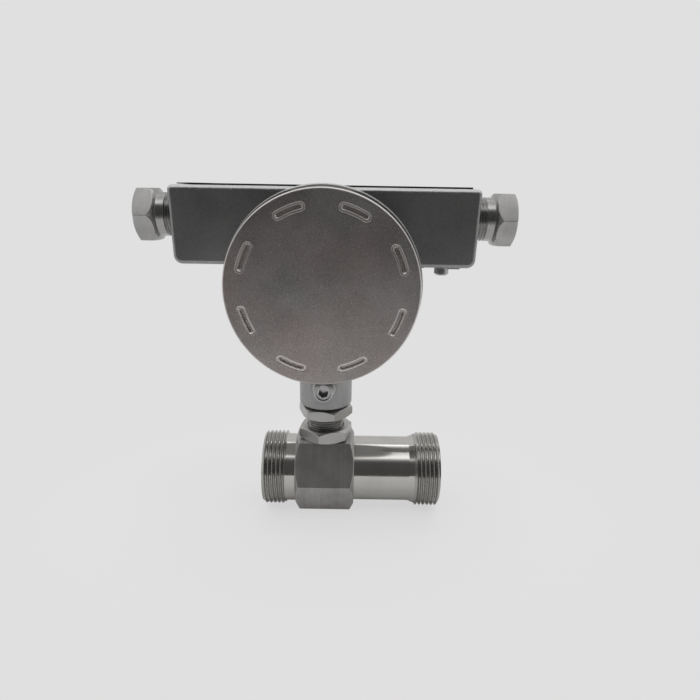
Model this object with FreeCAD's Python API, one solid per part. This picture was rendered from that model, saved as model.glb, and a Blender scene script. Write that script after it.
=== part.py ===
import FreeCAD, Part
import math
import os

# Turbine flow meter with a screwed steel body and a flameproof wiring head, in millimetres.
# Origin: centre of the body hexagon's bottom flat, under the neck.
# +X runs along the pipe towards the inlet, -Y towards the round cover, +Z up.

Vec = FreeCAD.Vector
x_axis = Vec(1, 0, 0)
y_axis = Vec(0, 1, 0)
z_axis = Vec(0, 0, 1)

# general clearances
running_gap = 0.05          # radial, shaft in hole or thread in thread
face_gap = 0.1              # between faces that turn against each other
overlap = 1.0               # how far joined forms and cutters reach past each other
flat_tolerance = 0.1        # for telling an edge's position

# meter body
hex_af = 42.0
hex_length = 33.0
outlet_reach = 35.0         # neck axis to outlet end
inlet_reach = 65.0          # neck axis to inlet end
thread_radius = 20.955      # pipe thread G 1 1/4, over the crests
thread_length = 12.7
thread_chamfer = 1.2
outlet_barrel_radius = 19.3
inlet_barrel_radius = 18.4
inlet_cone_length = 4.5
bore_radius = 12.5          # DN 25
chamber_half_length = 8.0   # rotor chamber, each way from the neck axis
chamfer_angle = 30.0        # turned chamfer on every hexagon

# flow straighteners and their circlips
straightener_wall = 0.8
hub_radius = 6.0
hub_gap = 0.5               # rotor hub to straightener hub
nose_length = 7.8
nose_tip_radius = 0.8
outlet_circlip_setback = 12.8   # outlet end to the spring ring
inlet_circlip_setback = 21.8
vane_thickness = 1.2
vane_count = 4
circlip_thickness = 1.2
circlip_depth = 0.9         # into the groove
circlip_width = 2.4
circlip_opening = 50.0      # degrees
circlip_eye_radius = 1.8
circlip_eye_hole = 0.8

# rotor
rotor_half_length = 6.0
rotor_edge_chamfer = 0.5
shaft_radius = 1.0
rotor_tip_gap = 0.3
blade_count = 6
blade_half_length = 4.8
blade_root_thickness = 1.3
blade_tip_thickness = 0.8
blade_twist = 52.0          # degrees along the blade
blade_sections = 7
bush_radius = 2.2
bush_length = 4.0
shaft_end_gap = 0.8

# magnetic pickup
pickup_radius = 10.0
pickup_tip_radius = 8.0
pickup_floor = 2.0          # body wall left under the pickup
pickup_wall = 1.4
pickup_reach = 34.0         # above the body's top flat
core_radius = 2.0
coil_length = 12.0
coil_radius = 6.0
coil_flange = 1.0
coil_winding_drop = 1.2
magnet_radius = 4.5
magnet_length = 6.0

# nuts and seal round the pickup
boss_nut_af = 27.0
boss_nut_height = 7.0
boss_nut_turn = 18.0        # degrees about the neck
pickup_shown = 6.5          # bare pickup thread between the nuts
lock_nut_af = 26.7
lock_nut_height = 6.1
lock_nut_turn = 50.5
seal_height = 1.4
seal_radius = 12.8

# neck
neck_radius = 14.6
neck_chamfer = 0.6
flare_radius = 21.0
flare_below = 7.0           # flare starts this far under the chamber
flare_above = 14.0
flare_sag = 3.6             # how far the flare's curve falls inside its chord
wire_bore_radius = 7.5

# head casting
cover_axis_height = 113.7   # above the pipe axis
flange_radius = 46.5
flange_front = 37.6         # front face, ahead of the neck axis
flange_length = 15.0
flange_chamfer = 0.9
barrel_radius = 44.0
barrel_back = 24.0
barrel_chamfer = 2.5
barrel_wall = 6.0
cover_thread_radius = 40.0
box_half_width = 75.0
box_half_depth = 20.0
box_bottom = 7.3            # above the cover axis
box_height = 37.5
box_draft = 1.4             # degrees, each end
box_edge_radius = 2.0
box_corner_radius = 4.0
box_wall = 5.0
arm_root = 30.0             # each cable arm is a solid of its own from here out

# round cover
cover_radius = 45.0
cover_disc = 6.0
cover_rim_length = 8.0
cover_rim_chamfer = 0.9
cover_seat_gap = 0.4        # flange face to cover
cover_skirt_length = 12.0
cover_skirt_wall = 4.0
slot_count = 8
slot_ring_radius = 37.9
slot_arc = 13.8             # degrees between the slot's end centres
slot_mouth = 3.9
slot_floor = 1.8
slot_depth = 2.6
oring_radius = 42.0
oring_section = 1.0
oring_clearance = 0.12

# cover lock on the neck's lug
lug_half_width = 7.3
lug_front = 21.0
lock_screw_drop = 55.7      # below the cover axis
lock_screw_radius = 3.0
lock_screw_depth = 7.4      # into the lug
lock_head_radius = 5.0
lock_head_height = 6.0
lock_head_chamfer = 0.5
lock_key = 5.0              # across flats of the key socket
lock_tab_radius = 6.1
lock_tab_width = 5.7
lock_tab_thickness = 1.6
lock_tab_gap = 0.4          # tab end to the flange
washer_thickness = 1.6
washer_radius = 4.7
screw_clearance = 0.2

# cable glands
gland_thread_radius = 11.0
gland_af = 25.6
gland_hex_length = 10.6
gland_nose_length = 3.2     # rounded inner side of the hexagon
gland_nose_turn = 0.36      # share of the nose's length in its steeper cone
gland_collar_radius = 10.9
gland_collar_length = 4.0
gland_thread_shown = 5.4    # thread left bare outside the port
gland_thread_inside = 7.5
gland_bore_radius = 5.5     # guides the cable in the hexagon and collar
gland_shank_bore_radius = 6.4
gland_ring_play = 0.6       # washer and seal to the port's wall
gland_washer_bore_radius = 5.9
gland_seal_bore_radius = 5.0
gland_washer_thickness = 1.0
gland_seal_length = 9.0
port_height = 30.0          # gland axis above the cover axis
port_lip = 3.0              # wall the cable seal presses against
port_wire_radius = 7.0      # hole through that wall

# black sheet on top of the box
top_sheet_half_length = 70.7
top_sheet_half_depth = 16.5
top_sheet_thickness = 1.2

# earth terminal under the box
earth_x = 58.6
earth_y = -13.0
earth_screw_radius = 2.0
earth_screw_depth = 4.0
earth_head_radius = 3.6
earth_head_height = 3.2
earth_head_chamfer = 0.8
earth_slot_width = 1.0
earth_slot_depth = 1.4
earth_tag_thickness = 0.9
earth_tag_length = 8.6
earth_tag_radius = 3.6
earth_tongue_half_width = 2.9

# electronics
board_thickness = 1.6
board_front = 4.0           # ahead of the neck axis
board_half_width = 27.0
board_top = 14.0            # above the cover axis
board_bottom = 30.0         # below it
board_round = 37.5
fixing_inset = 4.5
standoff_af = 6.0
fixing_radius = 1.7
fixing_depth = 3.0          # stud in the chamber's back wall
fixing_hole_depth = 5.0
board_screw_head = 3.0
board_screw_height = 2.0
board_screw_grip = 4.0
terminal_height = 11.0
terminal_depth = 9.0
terminal_pitch = 7.0
terminal_count = 5
terminal_drop = 17.0        # below the cover axis
terminal_screw_radius = 2.0
terminal_well = 3.0
terminal_mouth = 4.0
terminal_slot = 0.7
capacitor_radius = 3.5
capacitor_height = 8.0
capacitor_drop = 2.5        # below the cover axis
chip_width = 12.0
chip_height = 8.0
chip_depth = 3.0
chip_x = -12.0
trimmer_width = 7.0
trimmer_height = 5.0
trimmer_depth = 6.0
trimmer_x = 6.5
trimmer_pitch = 9.0
parts_rise = 5.5            # middle of the chip and trimmers above the cover axis

# derived levels
pipe_z = hex_af / 2
top_flat_z = hex_af
cover_z = pipe_z + cover_axis_height
ring_radius = bore_radius + straightener_wall
groove_radius = ring_radius + circlip_depth
hub_start = rotor_half_length + hub_gap
outlet_ring_length = outlet_reach - outlet_circlip_setback - circlip_thickness - chamber_half_length
inlet_ring_length = inlet_reach - inlet_circlip_setback - circlip_thickness - chamber_half_length
pickup_bottom = pipe_z + bore_radius + pickup_floor
pickup_inside = pickup_bottom + pickup_wall
pickup_end = top_flat_z + pickup_reach
magnet_bottom = pickup_inside + coil_length
boss_nut_top = top_flat_z + boss_nut_height
lock_nut_bottom = boss_nut_top + pickup_shown
lock_nut_top = lock_nut_bottom + lock_nut_height
seal_top = lock_nut_top + seal_height
neck_bottom = seal_top + face_gap
chamber_back = barrel_back - barrel_wall
box_bottom_z = cover_z + box_bottom
box_top_z = box_bottom_z + box_height
port_z = cover_z + port_height
port_face = box_half_width
gland_end = port_face - gland_thread_inside
washer_end = gland_end - face_gap
seal_end = washer_end - gland_washer_thickness - face_gap
port_seat = seal_end - gland_seal_length
arm_reach = port_seat - port_lip
cover_back = flange_front + cover_seat_gap
cover_front = cover_back + cover_rim_length
lock_z = cover_z - lock_screw_drop
tab_front = lug_front + lock_tab_thickness
lock_seat = tab_front + washer_thickness
board_rear = board_thickness - board_front
tag_bottom_z = box_bottom_z - earth_tag_thickness


def bar(radius, start, end, axis, centre):
    """Solid round bar along an axis between two stations, given in either order."""
    low = min(start, end)
    return Part.makeCylinder(radius, abs(end - start), centre + axis * low, axis)


def tube(outer, inner, start, end, axis, centre):
    hole = bar(inner, min(start, end) - overlap, max(start, end) + overlap, axis, centre)
    return bar(outer, start, end, axis, centre).cut(hole)


def pipe_bar(radius, start, end):
    """Bar on the pipe axis."""
    return bar(radius, start, end, x_axis, Vec(0, 0, pipe_z))


def neck_bar(radius, low, high):
    """Bar on the neck axis."""
    return bar(radius, low, high, z_axis, Vec(0, 0, 0))


def cover_bar(radius, front, back, x=0, z=0):
    """Bar along the cover axis, or beside it by x and z."""
    return bar(radius, front, back, y_axis, Vec(x, 0, cover_z + z))


def port_bar(radius, start, end):
    """Bar on the cable glands' axis."""
    return bar(radius, start, end, x_axis, Vec(0, 0, port_z))


def lock_bar(radius, front, back):
    """Bar on the lock screw's axis."""
    return bar(radius, front, back, y_axis, Vec(0, 0, lock_z))


def earth_bar(radius, low, high):
    """Bar on the earth screw's axis."""
    return bar(radius, low, high, z_axis, Vec(earth_x, earth_y, 0))


def block(x_range, y_range, z_range):
    """Rectangular block between low and high values."""
    sizes = [high - low for low, high in (x_range, y_range, z_range)]
    return Part.makeBox(sizes[0], sizes[1], sizes[2], Vec(x_range[0], y_range[0], z_range[0]))


def outline_face(start, steps):
    """Closed face; each step is the next corner, or a pair (middle, end) for an arc."""
    edges = []
    last = start
    for step in steps + [start]:
        if isinstance(step, tuple):
            edges.append(Part.Arc(last, step[0], step[1]).toShape())
            last = step[1]
        else:
            edges.append(Part.LineSegment(last, step).toShape())
            last = step
    return Part.Face(Part.Wire(edges))


def turned(start, steps, axis, centre):
    """Turned form: the outline swept once round the axis through centre."""
    return outline_face(start, steps).revolve(centre, axis, 360)


def polygon_prism(corners, travel):
    return Part.Face(Part.makePolygon(corners + corners[:1])).extrude(travel)


def hex_bar(across_flats, start, end, axis, centre, turn=0, chamfer_start=True):
    """Hexagonal bar with the turned chamfers of a nut; turn is in degrees."""
    corner = across_flats / math.sqrt(3)
    flat = across_flats / 2
    drop = (corner - flat) * math.tan(math.radians(chamfer_angle))
    across = y_axis if axis is x_axis else x_axis
    other = axis.cross(across)
    corners = []
    for k in range(6):
        angle = math.radians(60 * k + turn)
        spoke = across * (corner * math.cos(angle)) + other * (corner * math.sin(angle))
        corners.append(centre + axis * start + spoke)
    prism = polygon_prism(corners, axis * (end - start))

    def rim(station, radius):
        return centre + axis * station + across * radius

    steps = [rim(start, flat), rim(start + drop, corner)] if chamfer_start else [rim(start, corner)]
    steps += [rim(end - drop, corner), rim(end, flat), rim(end, 0)]
    return prism.common(turned(rim(start, 0), steps, axis, centre))


def fillet_where(solid, radius, test):
    return solid.makeFillet(radius, [edge for edge in solid.Edges if test(edge.BoundBox)])


def chamfer_where(solid, size, test):
    return solid.makeChamfer(size, [edge for edge in solid.Edges if test(edge.BoundBox)])


def mirrored(solid, side):
    """The solid for side 1, its mirror image across the neck for side -1."""
    return solid if side > 0 else solid.mirror(Vec(0, 0, 0), x_axis)


def meter_body():
    """Hexagonal bar turned down to two threaded ends, bored through and pocketed for the pickup."""
    outlet_step = -outlet_reach + thread_length
    cone_end = inlet_reach - thread_length
    cone_start = cone_end - inlet_cone_length
    chamfered = thread_radius - thread_chamfer
    profile = [
        (-outlet_reach, chamfered),
        (-outlet_reach + thread_chamfer, thread_radius),
        (outlet_step, thread_radius),
        (outlet_step, outlet_barrel_radius),
        (0, outlet_barrel_radius),
        (0, inlet_barrel_radius),
        (cone_start, inlet_barrel_radius),
        (cone_end, thread_radius),
        (inlet_reach - thread_chamfer, thread_radius),
        (inlet_reach, chamfered),
        (inlet_reach, 0),
    ]
    steps = [Vec(x, 0, pipe_z + radius) for x, radius in profile]
    centre = Vec(0, 0, pipe_z)
    body = turned(Vec(-outlet_reach, 0, pipe_z), steps, x_axis, centre)
    body = body.fuse(hex_bar(hex_af, -hex_length / 2, hex_length / 2, x_axis, centre))
    body = body.cut(pipe_bar(bore_radius, -chamber_half_length, chamber_half_length))
    ends = ((-1, outlet_reach, outlet_ring_length), (1, inlet_reach, inlet_ring_length))
    for side, reach, ring_length in ends:
        seat = chamber_half_length
        groove = seat + ring_length
        body = body.cut(pipe_bar(ring_radius, side * seat, side * (reach + overlap)))
        body = body.cut(pipe_bar(groove_radius, side * groove, side * (groove + circlip_thickness)))
    pocket = neck_bar(pickup_tip_radius + running_gap, pickup_bottom, top_flat_z + overlap)
    return body.cut(pocket).removeSplitter()


def straightener(side, ring_length):
    """Vaned cartridge: an ogive hub held by flat vanes in a thin ring."""
    ring_end = chamber_half_length + ring_length
    shoulder = ring_end - nose_length
    top = pipe_z + hub_radius
    nose_middle = Vec(shoulder + nose_length * 0.62, 0, pipe_z + hub_radius * 0.72)
    steps = [
        Vec(hub_start, 0, top),
        Vec(shoulder, 0, top),
        (nose_middle, Vec(ring_end, 0, pipe_z + nose_tip_radius)),
        Vec(ring_end, 0, pipe_z),
    ]
    form = turned(Vec(hub_start, 0, pipe_z), steps, x_axis, Vec(0, 0, pipe_z))
    vane_range = (chamber_half_length + hub_gap, shoulder)
    vane_root = hub_radius / 2
    vane_tip = ring_radius - straightener_wall / 2
    for k in range(vane_count):
        vane = block(vane_range, (-vane_thickness / 2, vane_thickness / 2), (vane_root, vane_tip))
        vane.rotate(Vec(0, 0, 0), x_axis, (k + 0.5) * 360 / vane_count)
        vane.translate(Vec(0, 0, pipe_z))
        form = form.fuse(vane)
    ring = tube(ring_radius, bore_radius, chamber_half_length, ring_end, x_axis, Vec(0, 0, pipe_z))
    seat_end = hub_start + bush_length + shaft_end_gap
    form = form.fuse(ring).cut(pipe_bar(bush_radius, hub_start - overlap, seat_end))
    return mirrored(form.removeSplitter(), side)


def circlip(side, ring_length):
    """Internal spring ring with an eye at each end of its opening."""
    start = chamber_half_length + ring_length
    end = start + circlip_thickness
    inner = groove_radius - circlip_width
    centre = Vec(0, 0, pipe_z)
    ring = tube(groove_radius, inner, start, end, x_axis, centre)
    half = math.radians(circlip_opening / 2)
    low = 2 * groove_radius
    spread = low * math.tan(half)
    behind = start - overlap
    corners = [Vec(behind, 0, pipe_z), Vec(behind, -spread, pipe_z - low), Vec(behind, spread, pipe_z - low)]
    ring = ring.cut(polygon_prism(corners, x_axis * (circlip_thickness + 2 * overlap)))
    eye_ring = inner + circlip_eye_radius / 2
    eye_angle = half + circlip_eye_radius / 2 / eye_ring
    for sign in (-1, 1):
        spot = centre + Vec(0, sign * math.sin(eye_angle), -math.cos(eye_angle)) * eye_ring
        ring = ring.fuse(bar(circlip_eye_radius, start, end, x_axis, spot))
        ring = ring.cut(bar(circlip_eye_hole, behind, end + overlap, x_axis, spot))
    ring = ring.common(pipe_bar(groove_radius, start, end))
    return mirrored(ring.removeSplitter(), side)


def bush(side):
    """Bearing bush in the straightener's hub."""
    inner = shaft_radius + running_gap
    centre = Vec(0, 0, pipe_z)
    return mirrored(tube(bush_radius, inner, hub_start, hub_start + bush_length, x_axis, centre), side)


def blade(start_angle):
    """One helical blade: sections turned along the axis, skinned and trimmed at the tip."""
    tip = bore_radius - rotor_tip_gap
    wires = []
    for k in range(blade_sections):
        share = k / (blade_sections - 1)
        turn = math.radians(start_angle + blade_twist * (share - 0.5))
        radial = Vec(0, math.sin(turn), math.cos(turn))
        side = Vec(0, math.cos(turn), -math.sin(turn))
        station = Vec(blade_half_length * (2 * share - 1), 0, pipe_z)
        root = station + radial * (hub_radius - overlap)
        over = station + radial * (tip + overlap)
        root_half = side * (blade_root_thickness / 2)
        tip_half = side * (blade_tip_thickness / 2)
        corners = [root - root_half, over - tip_half, over + tip_half, root + root_half]
        wires.append(Part.makePolygon(corners + corners[:1]))
    skin = Part.makeLoft(wires, True, False)
    return skin.common(pipe_bar(tip, -blade_half_length, blade_half_length))


def rotor():
    """Turbine wheel: hub with a ring of helical blades, bored for its shaft."""
    hub = pipe_bar(hub_radius, -rotor_half_length, rotor_half_length)
    hub = chamfer_where(hub, rotor_edge_chamfer, lambda box: box.XLength < flat_tolerance)
    for k in range(blade_count):
        hub = hub.fuse(blade(k * 360 / blade_count))
    reach = rotor_half_length + overlap
    return hub.cut(pipe_bar(shaft_radius, -reach, reach)).removeSplitter()


def rotor_shaft():
    reach = hub_start + bush_length
    return pipe_bar(shaft_radius, -reach, reach)


def pickup_sleeve():
    """Threaded probe body, closed at its tip and open at the top."""
    step = top_flat_z + face_gap
    sleeve = neck_bar(pickup_tip_radius, pickup_bottom, step)
    sleeve = sleeve.fuse(neck_bar(pickup_radius, step, pickup_end))
    inside = neck_bar(coil_radius + running_gap, pickup_inside, pickup_end + overlap)
    return sleeve.cut(inside).removeSplitter()


def pickup_core():
    return neck_bar(core_radius, pickup_inside, magnet_bottom)


def pickup_coil():
    """Wound bobbin with a flange at each end."""
    bobbin = tube(coil_radius, core_radius, pickup_inside, magnet_bottom, z_axis, Vec(0, 0, 0))
    low = pickup_inside + coil_flange
    high = magnet_bottom - coil_flange
    waist = tube(coil_radius + overlap, coil_radius - coil_winding_drop, low, high, z_axis, Vec(0, 0, 0))
    return bobbin.cut(waist)


def pickup_magnet():
    return neck_bar(magnet_radius, magnet_bottom, magnet_bottom + magnet_length)


def pickup_potting():
    """Resin plug over the coil and magnet that closes the probe."""
    plug = neck_bar(coil_radius + running_gap, magnet_bottom, pickup_end)
    return plug.cut(neck_bar(magnet_radius, magnet_bottom - overlap, magnet_bottom + magnet_length))


def pickup_nut(across_flats, low, high, turn):
    """Hexagonal nut on the pickup's thread."""
    nut = hex_bar(across_flats, low, high, z_axis, Vec(0, 0, 0), turn)
    return nut.cut(neck_bar(pickup_radius + running_gap, low - overlap, high + overlap))


def neck_seal():
    return tube(seal_radius, pickup_radius + running_gap, lock_nut_top, seal_top, z_axis, Vec(0, 0, 0))


def head_box():
    """Drafted box of the two cable arms with rounded edges."""
    narrow = box_half_width - box_height * math.tan(math.radians(box_draft))
    front = -box_half_depth
    corners = [
        Vec(-narrow, front, box_bottom_z),
        Vec(narrow, front, box_bottom_z),
        Vec(box_half_width, front, box_top_z),
        Vec(-box_half_width, front, box_top_z),
    ]
    box = polygon_prism(corners, y_axis * (2 * box_half_depth))
    low_edges = box_bottom_z + flat_tolerance
    box = fillet_where(box, box_corner_radius, lambda b: b.YLength > box_half_depth and b.ZMax < low_edges)
    return fillet_where(box, box_edge_radius, lambda b: b.YLength < flat_tolerance)


def head_barrel():
    """Round chamber with its wider flange at the front and a rounded back."""
    flange_back = flange_length - flange_front
    barrel = cover_bar(barrel_radius, flange_back - overlap, barrel_back)
    barrel = chamfer_where(barrel, barrel_chamfer, lambda b: b.YMin > barrel_back - flat_tolerance)
    flange = cover_bar(flange_radius, -flange_front, flange_back)
    flange = chamfer_where(flange, flange_chamfer, lambda b: b.YLength < flat_tolerance)
    return barrel.fuse(flange)


def neck_form():
    """Round neck that flares into the bottom of the chamber."""
    chamber_bottom = cover_z - barrel_radius
    low = chamber_bottom - flare_below
    high = chamber_bottom + flare_above
    middle = Vec((neck_radius + flare_radius) / 2 - flare_sag / 2, 0, (low + high) / 2 + flare_sag / 2)
    steps = [
        Vec(neck_radius - neck_chamfer, 0, neck_bottom),
        Vec(neck_radius, 0, neck_bottom + neck_chamfer),
        Vec(neck_radius, 0, low),
        (middle, Vec(flare_radius, 0, high)),
        Vec(0, 0, high),
    ]
    return turned(Vec(0, 0, neck_bottom), steps, z_axis, Vec(0, 0, 0))


def lock_lug():
    """Rounded lug on the neck that carries the cover lock screw."""
    back = -neck_radius / 2
    top = cover_z - flange_radius + overlap
    upper = block((-lug_half_width, lug_half_width), (-lug_front, back), (lock_z, top))
    return upper.fuse(lock_bar(lug_half_width, -lug_front, back))


def head_casting():
    """Whole cast head: chamber, cable arms, neck and lock lug, hollow inside."""
    cast = head_box().fuse(head_barrel())
    cast = cast.fuse(neck_form()).fuse(lock_lug())
    cast = cast.cut(cover_bar(cover_thread_radius, -flange_front - overlap, chamber_back))
    arm_half = box_half_depth - box_wall
    arm_levels = (box_bottom_z + box_wall, box_top_z - box_wall)
    cast = cast.cut(block((-arm_reach, arm_reach), (-arm_half, arm_half), arm_levels))
    cast = cast.cut(port_bar(port_wire_radius, -port_face, port_face))
    for side in (-1, 1):
        port = port_bar(gland_thread_radius + running_gap, side * port_seat, side * (port_face + overlap))
        cast = cast.cut(port)
    cast = cast.cut(neck_bar(pickup_radius + running_gap, neck_bottom - overlap, pickup_end + overlap))
    cast = cast.cut(neck_bar(wire_bore_radius, pickup_end, cover_z - cover_thread_radius + overlap))
    cast = cast.cut(lock_bar(lock_screw_radius, -lug_front - overlap, lock_screw_depth - lug_front))
    cast = cast.cut(earth_bar(earth_screw_radius, box_bottom_z - overlap, box_bottom_z + earth_screw_depth))
    for x, z in board_fixings():
        cast = cast.cut(cover_bar(fixing_radius, chamber_back - overlap, chamber_back + fixing_depth, x, z))
    return cast.removeSplitter()


def arm_space(side):
    """Space that one cable arm of the casting fills, outside the round chamber."""
    outer = box_half_depth + overlap
    levels = (box_bottom_z - overlap, box_top_z + overlap)
    space = block(sorted((side * arm_root, side * (port_face + overlap))), (-outer, outer), levels)
    return space.cut(cover_bar(barrel_radius, -outer - overlap, outer + overlap))


def slot_outline(width, y, angle):
    """Arc-shaped slot with round ends, as a wire at depth y."""
    start = math.radians(angle - slot_arc / 2)
    end = math.radians(angle + slot_arc / 2)
    middle = math.radians(angle)
    outer = slot_ring_radius + width / 2
    inner = slot_ring_radius - width / 2
    end_turn = width / 2 / slot_ring_radius

    def spot(radius, turn):
        return Vec(radius * math.sin(turn), y, cover_z + radius * math.cos(turn))

    edges = [
        Part.Arc(spot(outer, start), spot(outer, middle), spot(outer, end)),
        Part.Arc(spot(outer, end), spot(slot_ring_radius, end + end_turn), spot(inner, end)),
        Part.Arc(spot(inner, end), spot(inner, middle), spot(inner, start)),
        Part.Arc(spot(inner, start), spot(slot_ring_radius, start - end_turn), spot(outer, start)),
    ]
    return Part.Wire([edge.toShape() for edge in edges])


def cover():
    """Round screw cover: rim, threaded skirt, hollow back and a ring of tapered wrench slots."""
    inner_face = cover_disc - cover_front
    skirt_end = cover_skirt_length - cover_back
    skirt_radius = cover_thread_radius - 2 * running_gap
    disc = cover_bar(cover_radius, -cover_front, -cover_back)
    disc = chamfer_where(disc, cover_rim_chamfer, lambda b: b.YMax < flat_tolerance - cover_front)
    form = disc.fuse(cover_bar(skirt_radius, -cover_back - overlap, skirt_end))
    form = form.cut(cover_bar(skirt_radius - cover_skirt_wall, inner_face, skirt_end + overlap))
    reach = oring_section + oring_clearance
    groove_floor = cover_seat_gap - cover_back - 2 * reach
    centre = Vec(0, 0, cover_z)
    groove_mouth = overlap - cover_back
    groove = (groove_floor, groove_mouth, y_axis, centre)
    form = form.cut(tube(oring_radius + reach, oring_radius - reach, *groove))
    for k in range(slot_count):
        angle = (k + 0.5) * 360 / slot_count
        mouth = slot_outline(slot_mouth, -cover_front, angle)
        floor = slot_outline(slot_floor, slot_depth - cover_front, angle)
        form = form.cut(Part.makeLoft([mouth, floor], True, True))
    return form.removeSplitter()


def cover_oring():
    """Sealing ring of six-sided section between the cover and the flange."""
    middle = -flange_front - running_gap - oring_section
    corners = []
    for k in range(6):
        angle = math.radians(60 * k)
        radius = oring_radius + oring_section * math.cos(angle)
        corners.append(Vec(radius, middle + oring_section * math.sin(angle), cover_z))
    return turned(corners[0], corners[1:], y_axis, Vec(0, 0, cover_z))


def lock_tab():
    """Flat tab under the lock screw, reaching up to the cover's flange."""
    half = lock_tab_width / 2
    top = cover_z - flange_radius - lock_tab_gap
    arm = block((-half, half), (-tab_front, -lug_front), (lock_z, top))
    tab = lock_bar(lock_tab_radius, -tab_front, -lug_front).fuse(arm)
    return tab.cut(lock_bar(lock_screw_radius + screw_clearance, -tab_front - overlap, overlap - lug_front))


def lock_spring_washer():
    inner = lock_screw_radius + screw_clearance
    return tube(washer_radius, inner, -lock_seat, -tab_front, y_axis, Vec(0, 0, lock_z))


def lock_screw():
    """Socket-head screw with a rounded head edge and a hexagonal key socket."""
    front = -lock_seat - lock_head_height
    head = lock_bar(lock_head_radius, front, -lock_seat)
    head = chamfer_where(head, lock_head_chamfer, lambda b: b.YMax < front + flat_tolerance)
    screw = head.fuse(lock_bar(lock_screw_radius, -lock_seat - overlap, lock_screw_depth - lug_front))
    corner = lock_key / math.sqrt(3)
    corners = []
    for k in range(6):
        angle = math.radians(60 * k)
        corners.append(Vec(corner * math.cos(angle), front - overlap, lock_z + corner * math.sin(angle)))
    return screw.cut(polygon_prism(corners, y_axis * (lock_head_height / 2 + overlap))).removeSplitter()


def gland_nut(side):
    """Compression nut: hexagon with a stepped inner chamfer, collar and shank, bored for the cable."""
    collar = port_face + gland_thread_shown
    hex_start = collar + gland_collar_length
    hex_end = hex_start + gland_hex_length
    centre = Vec(0, 0, port_z)
    corner = gland_af / math.sqrt(3)
    rise = corner - gland_collar_radius
    steps = [
        Vec(hex_start, 0, port_z + gland_collar_radius),
        Vec(hex_start + gland_nose_length * gland_nose_turn, 0, port_z + corner - rise * gland_nose_turn),
        Vec(hex_start + gland_nose_length, 0, port_z + corner),
        Vec(hex_end, 0, port_z + corner),
        Vec(hex_end, 0, port_z),
    ]
    nut = hex_bar(gland_af, hex_start, hex_end, x_axis, centre, chamfer_start=False)
    nut = nut.common(turned(Vec(hex_start, 0, port_z), steps, x_axis, centre))
    nut = nut.fuse(port_bar(gland_collar_radius, collar, hex_start + overlap))
    nut = nut.fuse(port_bar(gland_thread_radius, gland_end, collar))
    nut = nut.cut(port_bar(gland_bore_radius, collar, hex_end + overlap))
    nut = nut.cut(port_bar(gland_shank_bore_radius, gland_end - overlap, collar))
    return mirrored(nut.removeSplitter(), side)


def gland_ring(side, bore, end, length):
    """Washer or rubber ring in the cable port."""
    outer = gland_thread_radius - gland_ring_play
    ring = tube(outer, bore, end - length, end, x_axis, Vec(0, 0, port_z))
    return mirrored(ring, side)


def top_sheet():
    x_range = (-top_sheet_half_length, top_sheet_half_length)
    y_range = (-top_sheet_half_depth, top_sheet_half_depth)
    return block(x_range, y_range, (box_top_z, box_top_z + top_sheet_thickness))


def earth_tag():
    """Flat ring with a tongue under the earth screw's head."""
    ring = earth_bar(earth_tag_radius, tag_bottom_z, box_bottom_z)
    y_range = (earth_y - earth_tongue_half_width, earth_y + earth_tongue_half_width)
    tongue = block((earth_x, earth_x + earth_tag_length), y_range, (tag_bottom_z, box_bottom_z))
    hole = earth_bar(earth_screw_radius + screw_clearance, tag_bottom_z - overlap, box_bottom_z + overlap)
    return ring.fuse(tongue).cut(hole)


def earth_screw():
    """Slotted round-head screw, head down."""
    bottom = tag_bottom_z - earth_head_height
    head = earth_bar(earth_head_radius, bottom, tag_bottom_z)
    head = chamfer_where(head, earth_head_chamfer, lambda b: b.ZMax < bottom + flat_tolerance)
    screw = head.fuse(earth_bar(earth_screw_radius, tag_bottom_z - overlap, box_bottom_z + earth_screw_depth))
    reach = earth_head_radius + overlap
    half = earth_slot_width / 2
    levels = (bottom - overlap, bottom + earth_slot_depth)
    slot = block((earth_x - reach, earth_x + reach), (earth_y - half, earth_y + half), levels)
    return screw.cut(slot).removeSplitter()


def board_fixings():
    """Board fixing points as (x, z) from the cover axis."""
    side = board_half_width - fixing_inset
    high = board_top - fixing_inset
    return [(-side, high), (side, high), (0, fixing_inset - board_bottom)]


def circuit_board():
    levels = (cover_z - board_bottom, cover_z + board_top)
    sheet = block((-board_half_width, board_half_width), (-board_front, board_rear), levels)
    sheet = sheet.common(cover_bar(board_round, -board_front - overlap, board_rear + overlap))
    for x, z in board_fixings():
        sheet = sheet.cut(cover_bar(fixing_radius, -board_front - overlap, board_rear + overlap, x, z))
    return sheet


def board_standoffs():
    """Hexagonal pillars screwed into the chamber's back wall."""
    pillars = []
    for x, z in board_fixings():
        centre = Vec(x, 0, cover_z + z)
        pillar = hex_bar(standoff_af, board_rear, chamber_back, y_axis, centre)
        stud = cover_bar(fixing_radius, chamber_back - overlap, chamber_back + fixing_depth, x, z)
        hole = cover_bar(fixing_radius, board_rear - overlap, board_rear + fixing_hole_depth, x, z)
        pillars.append(pillar.fuse(stud).cut(hole).removeSplitter())
    return Part.makeCompound(pillars)


def board_screws():
    screws = []
    for x, z in board_fixings():
        head = cover_bar(board_screw_head, -board_front - board_screw_height, -board_front, x, z)
        shank = cover_bar(fixing_radius, -board_front - overlap, board_rear + board_screw_grip, x, z)
        screws.append(head.fuse(shank).removeSplitter())
    return Part.makeCompound(screws)


def terminal_stations():
    middle = (terminal_count - 1) / 2
    return [(k - middle) * terminal_pitch for k in range(terminal_count)]


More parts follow.
